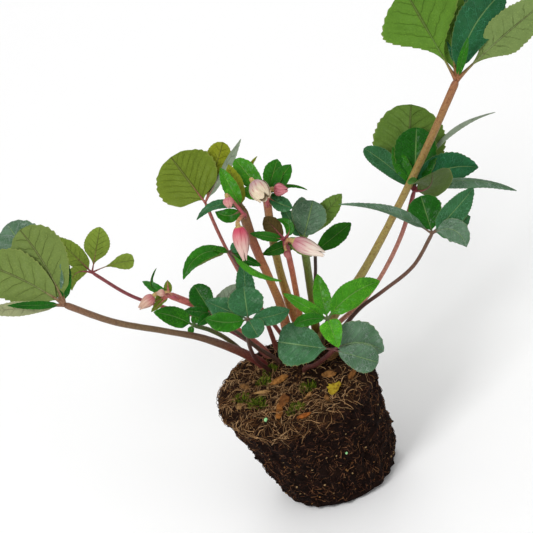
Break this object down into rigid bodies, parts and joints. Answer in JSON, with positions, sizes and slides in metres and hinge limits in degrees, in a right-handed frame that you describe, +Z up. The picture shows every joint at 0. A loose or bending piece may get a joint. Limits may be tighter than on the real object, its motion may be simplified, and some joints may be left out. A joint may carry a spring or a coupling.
{
  "type": "hellebore plant",
  "caption": "Young hellebore plant on its bare tapered root ball: divided toothed leaves on long stalks, upright flower stems with bracts and pink buds.",
  "frame": {"origin": "middle of the flat foot of the root ball", "axes": "+Z up out of the soil, front towards -Y, the longest leaves spread along X"},
  "size_m": [0.5295, 0.2127, 0.3582],
  "materials": {
    "soil": "matte",
    "leaf": "satin",
    "leaf_stalk": "satin",
    "flower_stem": "satin",
    "bract": "satin",
    "petal": "satin",
    "withered_leaf": "matte"
  },
  "bodies": {
    "root": {"bracts_centre": "bract", "bracts_left": "bract", "bracts_low": "bract", "bracts_right": "bract", "bracts_top": "bract", "bud_centre_small": "petal", "bud_hanging": "petal", "bud_low": "petal", "bud_low_small": "petal", "bud_open": "petal", "bud_right": "petal", "bud_small": "petal", "bud_striped": "petal", "fallen_leaf": "withered_leaf", "leaf_arching": "leaf", "leaf_centre_left": "leaf", "leaf_dark_left": "leaf", "leaf_far_left": "leaf", "leaf_front_blue": "leaf", "leaf_front_bright": "leaf", "leaf_low_left": "leaf", "leaf_lower_right": "leaf", "leaf_right": "leaf", "leaf_slender": "leaf", "leaf_small_left": "leaf", "leaf_top_right": "leaf", "leaf_upper_left": "leaf", "root_ball": "soil", "stalk_arching": "leaf_stalk", "stalk_centre_left": "leaf_stalk", "stalk_dark_left": "leaf_stalk", "stalk_far_left": "leaf_stalk", "stalk_front_blue": "leaf_stalk", "stalk_front_bright": "leaf_stalk", "stalk_low_left": "leaf_stalk", "stalk_lower_right": "leaf_stalk", "stalk_right": "leaf_stalk", "stalk_slender": "leaf_stalk", "stalk_small_left": "leaf_stalk", "stalk_top_right": "leaf_stalk", "stalk_upper_left": "leaf_stalk", "stem_centre": "flower_stem", "stem_left": "flower_stem", "stem_low": "flower_stem", "stem_right": "flower_stem", "stem_top": "flower_stem"}
  },
  "joints": []
}
